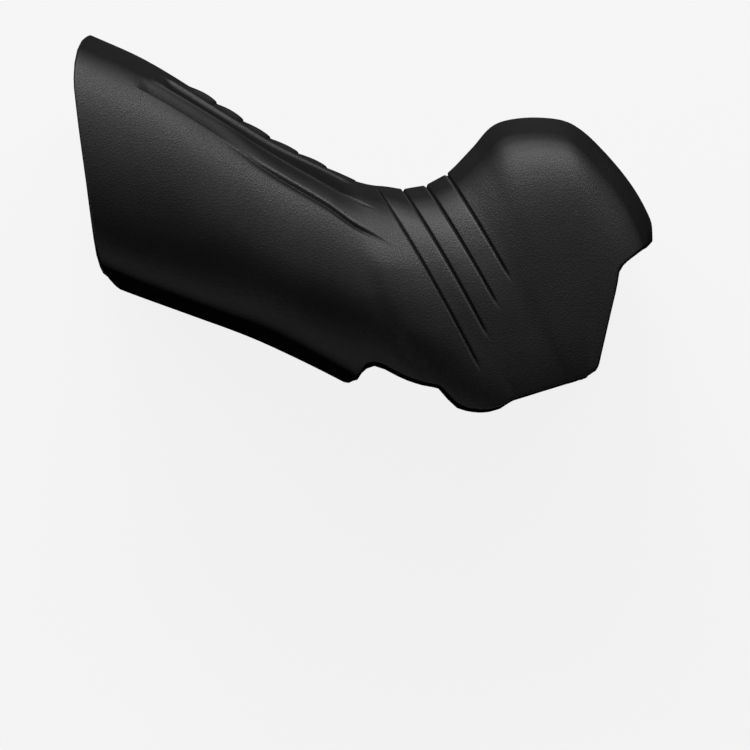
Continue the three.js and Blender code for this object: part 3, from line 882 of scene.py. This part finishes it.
def build_grain():
    """Height of small rounded cells with creases between them, for a grain size in millimetres."""
    group, given, result = new_group(
        "leathery grain",
        [("Cell mm", "NodeSocketFloat", 0.8), ("Crease", "NodeSocketFloat", 0.5)],
        [("Height", "NodeSocketFloat"), ("Tone", "NodeSocketFloat")],
    )
    coordinates = add_node(group, "ShaderNodeTexCoord")
    scale = add_node(group, "ShaderNodeMath", {0: PER_MM}, operation="DIVIDE")
    warp = add_node(group, "ShaderNodeTexNoise", {"Scale": WARP_SCALE * PER_MM, "Detail": 2.0})
    bend = add_node(group, "ShaderNodeVectorMath", {"Scale": WARP_REACH}, operation="SCALE")
    moved = add_node(group, "ShaderNodeVectorMath", operation="ADD")
    cells = add_node(group, "ShaderNodeTexVoronoi", feature="DISTANCE_TO_EDGE")
    fine = add_node(group, "ShaderNodeTexNoise", {"Scale": FINE_SCALE * PER_MM, "Detail": 3.0})
    round_off = add_node(
        group, "ShaderNodeMapRange", {"From Max": CREASE_WIDTH}, interpolation_type="SMOOTHSTEP"
    )
    crease = add_node(group, "ShaderNodeMath", operation="MULTIPLY")
    height = add_node(group, "ShaderNodeMath", {1: FINE_SHARE}, operation="MULTIPLY_ADD")
    chain(
        group,
        (given.outputs["Cell mm"], scale.inputs[1]),
        (coordinates.outputs["Object"], warp.inputs["Vector"]),
        (warp.outputs["Color"], bend.inputs[0]),
        (coordinates.outputs["Object"], moved.inputs[0]),
        (bend.outputs[0], moved.inputs[1]),
        (moved.outputs[0], cells.inputs["Vector"]),
        (scale.outputs[0], cells.inputs["Scale"]),
        (coordinates.outputs["Object"], fine.inputs["Vector"]),
        (cells.outputs["Distance"], round_off.inputs["Value"]),
        (round_off.outputs[0], crease.inputs[0]),
        (given.outputs["Crease"], crease.inputs[1]),
        (fine.outputs["Fac"], height.inputs[0]),
        (crease.outputs[0], height.inputs[2]),
        (height.outputs[0], result.inputs["Height"]),
        (fine.outputs["Fac"], result.inputs["Tone"]),
    )
    return group


grain = build_grain()
print("grain group:", len(grain.nodes), "nodes")

# %% Handling: wear, painted highlight and painted shade
CLOUD_SCALE = 0.11
CLOUD_RANGE = {"From Min": 0.3, "From Max": 0.7, "To Min": 0.9, "To Max": 1.1}
TONE_RANGE = {"From Min": 0.3, "From Max": 0.7, "To Min": 0.85, "To Max": 1.15}
HOLLOW_PAINTED_SHADE = 0.4
WEAR_AND_HIGHLIGHT_GAIN = 2.2
ROUGHNESS_SPREAD = 0.12
POLISH = 0.08
HOLLOW_DULLING = 0.75


def build_wear_and_painted_light():
    """Colour, roughness and shine: wear and a painted highlight where it stands out, painted shade in its
    hollows.
    """
    group, given, result = new_group(
        "rubber wear and painted light",
        [
            ("Color", "NodeSocketColor", (0.03, 0.03, 0.031, 1)),
            ("Roughness", "NodeSocketFloat", 0.6),
            ("Tone", "NodeSocketFloat", 0.5),
        ],
        [("Color", "NodeSocketColor"), ("Roughness", "NodeSocketFloat"), ("Shine", "NodeSocketFloat")],
    )
    coordinates = add_node(group, "ShaderNodeTexCoord")
    cloud = add_node(group, "ShaderNodeTexNoise", {"Scale": CLOUD_SCALE * PER_MM, "Detail": 4.0})
    hollow_painted_shade = add_node(group, "ShaderNodeAttribute", attribute_name="hollow_painted_shade")
    raised_wear_and_highlight = add_node(group, "ShaderNodeAttribute", attribute_name="raised_wear_and_highlight")
    cloud_range = add_node(group, "ShaderNodeMapRange", CLOUD_RANGE)
    tone_range = add_node(group, "ShaderNodeMapRange", TONE_RANGE)
    both = add_node(group, "ShaderNodeMath", operation="MULTIPLY")
    # Painted shade: the colour is darkened in the hollows.
    shade = add_node(group, "ShaderNodeMath", {1: -HOLLOW_PAINTED_SHADE, 2: 1.0}, operation="MULTIPLY_ADD")
    # Wear and painted highlight: the colour is lightened on raised edges.
    wear_and_highlight = add_node(group, "ShaderNodeMath", {1: WEAR_AND_HIGHLIGHT_GAIN}, operation="MULTIPLY_ADD")
    level = add_node(group, "ShaderNodeMath", operation="MULTIPLY")
    tinted = add_node(group, "ShaderNodeVectorMath", operation="SCALE")
    spread = add_node(
        group,
        "ShaderNodeMath",
        {1: ROUGHNESS_SPREAD, 2: -ROUGHNESS_SPREAD / 2},
        operation="MULTIPLY_ADD",
    )
    rougher = add_node(group, "ShaderNodeMath", operation="ADD")
    polished = add_node(group, "ShaderNodeMath", {1: -POLISH}, operation="MULTIPLY_ADD")
    shine = add_node(group, "ShaderNodeMath", {1: -HOLLOW_DULLING, 2: 1.0}, operation="MULTIPLY_ADD")
    chain(
        group,
        (coordinates.outputs["Object"], cloud.inputs["Vector"]),
        (cloud.outputs["Fac"], cloud_range.inputs["Value"]),
        (given.outputs["Tone"], tone_range.inputs["Value"]),
        (cloud_range.outputs[0], both.inputs[0]),
        (tone_range.outputs[0], both.inputs[1]),
        (hollow_painted_shade.outputs["Fac"], shade.inputs[0]),
        (both.outputs[0], level.inputs[0]),
        (raised_wear_and_highlight.outputs["Fac"], wear_and_highlight.inputs[0]),
        (shade.outputs[0], wear_and_highlight.inputs[2]),
        (wear_and_highlight.outputs[0], level.inputs[1]),
        (given.outputs["Color"], tinted.inputs[0]),
        (level.outputs[0], tinted.inputs["Scale"]),
        (tinted.outputs[0], result.inputs["Color"]),
        (cloud.outputs["Fac"], spread.inputs[0]),
        (given.outputs["Roughness"], rougher.inputs[0]),
        (spread.outputs[0], rougher.inputs[1]),
        (raised_wear_and_highlight.outputs["Fac"], polished.inputs[0]),
        (rougher.outputs[0], polished.inputs[2]),
        (polished.outputs[0], result.inputs["Roughness"]),
        (hollow_painted_shade.outputs["Fac"], shine.inputs[0]),
        (shine.outputs[0], result.inputs["Shine"]),
    )
    return group


wear_and_painted_light = build_wear_and_painted_light()
print("handling group:", len(wear_and_painted_light.nodes), "nodes")

# %% [markdown]
# Where they are seen aslant, the belly and the rims would mirror the white floor, but in the picture
# they are dark. The reflection is therefore taken back where the surface turns away from the eye.

# %% Outside and lining
SHEEN_BY_GLANCE = {"From Min": 0.04, "From Max": 0.46, "To Min": 0.62, "To Max": 0.0}
GRAIN_HEIGHT = 0.1 * MM
OUTSIDE = {"color": (0.018, 0.018, 0.019), "roughness": 0.52, "cell": 0.55, "crease": 0.4, "strength": 0.45}
LINING = {"color": (0.020, 0.020, 0.021), "roughness": 0.75, "cell": 1.2, "crease": 0.2, "strength": 0.4}


def rubber(name, color, roughness, cell, crease, strength):
    """Matte rubber: grain feeds the bump and the tone; wear with painted shade and highlight feeds colour
    and roughness.
    """
    material = bpy.data.materials.new(name)
    material.use_nodes = True
    tree = material.node_tree
    shader = tree.nodes["Principled BSDF"]
    glance = add_node(tree, "ShaderNodeLayerWeight", {"Blend": 0.5})
    sheen = add_node(tree, "ShaderNodeMapRange", SHEEN_BY_GLANCE, interpolation_type="SMOOTHSTEP")
    level = add_node(tree, "ShaderNodeMath", operation="MULTIPLY")
    grained = add_node(tree, "ShaderNodeGroup", node_tree=grain)
    grained.inputs["Cell mm"].default_value = cell
    grained.inputs["Crease"].default_value = crease
    wear_and_painted_light_node = add_node(tree, "ShaderNodeGroup", node_tree=wear_and_painted_light)
    wear_and_painted_light_node.inputs["Color"].default_value = (*color, 1)
    wear_and_painted_light_node.inputs["Roughness"].default_value = roughness
    bump = add_node(tree, "ShaderNodeBump", {"Strength": strength, "Distance": GRAIN_HEIGHT})
    chain(
        tree,
        (glance.outputs["Facing"], sheen.inputs["Value"]),
        (sheen.outputs[0], level.inputs[0]),
        (wear_and_painted_light_node.outputs["Shine"], level.inputs[1]),
        (level.outputs[0], shader.inputs["Specular IOR Level"]),
        (grained.outputs["Tone"], wear_and_painted_light_node.inputs["Tone"]),
        (wear_and_painted_light_node.outputs["Color"], shader.inputs["Base Color"]),
        (wear_and_painted_light_node.outputs["Roughness"], shader.inputs["Roughness"]),
        (grained.outputs["Height"], bump.inputs["Height"]),
        (bump.outputs["Normal"], shader.inputs["Normal"]),
    )
    return material


mesh.materials.append(rubber("hood_rubber", **OUTSIDE))
mesh.materials.append(rubber("hood_lining", **LINING))
print("materials:", [material.name for material in mesh.materials])

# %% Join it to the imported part
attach(hood, "root")
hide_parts("lever_hood")

# %% [markdown]
# ## Table, light and camera
# The photograph is a plain product shot: the hood lies flat, seen from straight above, and the light
# comes from beyond its top. A wide pale floor takes the shadow. It lights the rubber as a much duller
# floor would, because a white table would brighten the underside, which stays dark in the picture.

# %% Floor
FLOOR_SIZE = 14.0
SHADOW_SHARE = 0.14
WHITE = (1, 1, 1, 1)
PALE = (0.9, 0.9, 0.9, 1)
DULL = (0.06, 0.06, 0.06, 1)


def pale_floor():
    material = bpy.data.materials.new("pale_floor")
    material.use_nodes = True
    tree = material.node_tree
    tree.nodes.remove(tree.nodes["Principled BSDF"])
    rays = add_node(tree, "ShaderNodeLightPath")
    seen = add_node(tree, "ShaderNodeMath", operation="MAXIMUM")
    seen_through = add_node(tree, "ShaderNodeMath", operation="MAXIMUM")
    shadowed = add_node(tree, "ShaderNodeBsdfDiffuse", {"Color": PALE})
    white = add_node(tree, "ShaderNodeEmission", {"Color": WHITE, "Strength": 1.0})
    shown = add_node(tree, "ShaderNodeMixShader", {0: SHADOW_SHARE})
    dull = add_node(tree, "ShaderNodeBsdfDiffuse", {"Color": DULL})
    surface = add_node(tree, "ShaderNodeMixShader")
    chain(
        tree,
        (rays.outputs["Is Camera Ray"], seen.inputs[0]),
        (rays.outputs["Is Glossy Ray"], seen.inputs[1]),
        (seen.outputs[0], seen_through.inputs[0]),
        (rays.outputs["Is Transmission Ray"], seen_through.inputs[1]),
        (white.outputs[0], shown.inputs[1]),
        (shadowed.outputs[0], shown.inputs[2]),
        (seen_through.outputs[0], surface.inputs[0]),
        (dull.outputs[0], surface.inputs[1]),
        (shown.outputs[0], surface.inputs[2]),
        (surface.outputs[0], tree.nodes["Material Output"].inputs["Surface"]),
    )
    return material


half = FLOOR_SIZE / 2
corners = [(-half, -half, 0), (half, -half, 0), (half, half, 0), (-half, half, 0)]
floor_mesh = bpy.data.meshes.new("floor")
floor_mesh.from_pydata(corners, [], [(0, 1, 2, 3)])
floor = bpy.data.objects.new("floor", floor_mesh)
floor_mesh.materials.append(pale_floor())
bpy.context.scene.collection.objects.link(floor)
print("floor, m:", FLOOR_SIZE)

# %% Light
WORLD_STRENGTH = 0.04


def softbox(name, location, size, power):
    """A rectangular lamp that faces the hood, with its size in metres and its power in watts."""
    data = bpy.data.lights.new(name, "AREA")
    data.shape = "RECTANGLE"
    data.size, data.size_y = size
    data.energy = power
    lamp = bpy.data.objects.new(name, data)
    lamp.location = location
    lamp.rotation_euler = (-Vector(location)).to_track_quat("-Z", "Y").to_euler()
    bpy.context.scene.collection.objects.link(lamp)


softbox("key", (-0.15, 1.15, 0.42), (2.4, 0.45), 25)
softbox("top", (-0.2, 0.8, 1.0), (0.8, 0.8), 0.8)
world = bpy.data.worlds.new("studio")
world.use_nodes = True
bpy.context.scene.world = world
background = world.node_tree.nodes["Background"]
background.inputs["Color"].default_value = WHITE
background.inputs["Strength"].default_value = WORLD_STRENGTH

# %% Camera
FRAME_WIDTH = 0.135
CAMERA_HEIGHT = 1.0
PHOTO_CENTRE = (0.0018, -0.0272)
SENSOR = 36.0
camera_data = bpy.data.cameras.new("camera")
camera_data.sensor_width = SENSOR
camera_data.lens = SENSOR * CAMERA_HEIGHT / FRAME_WIDTH
camera = bpy.data.objects.new("camera", camera_data)
middle_height = (target_low[2] + target_high[2]) / 2
camera.location = (*PHOTO_CENTRE, middle_height + CAMERA_HEIGHT)
bpy.context.scene.collection.objects.link(camera)
bpy.context.scene.camera = camera
bpy.context.scene.view_settings.view_transform = "Standard"
print("lens, mm:", round(camera_data.lens, 1))
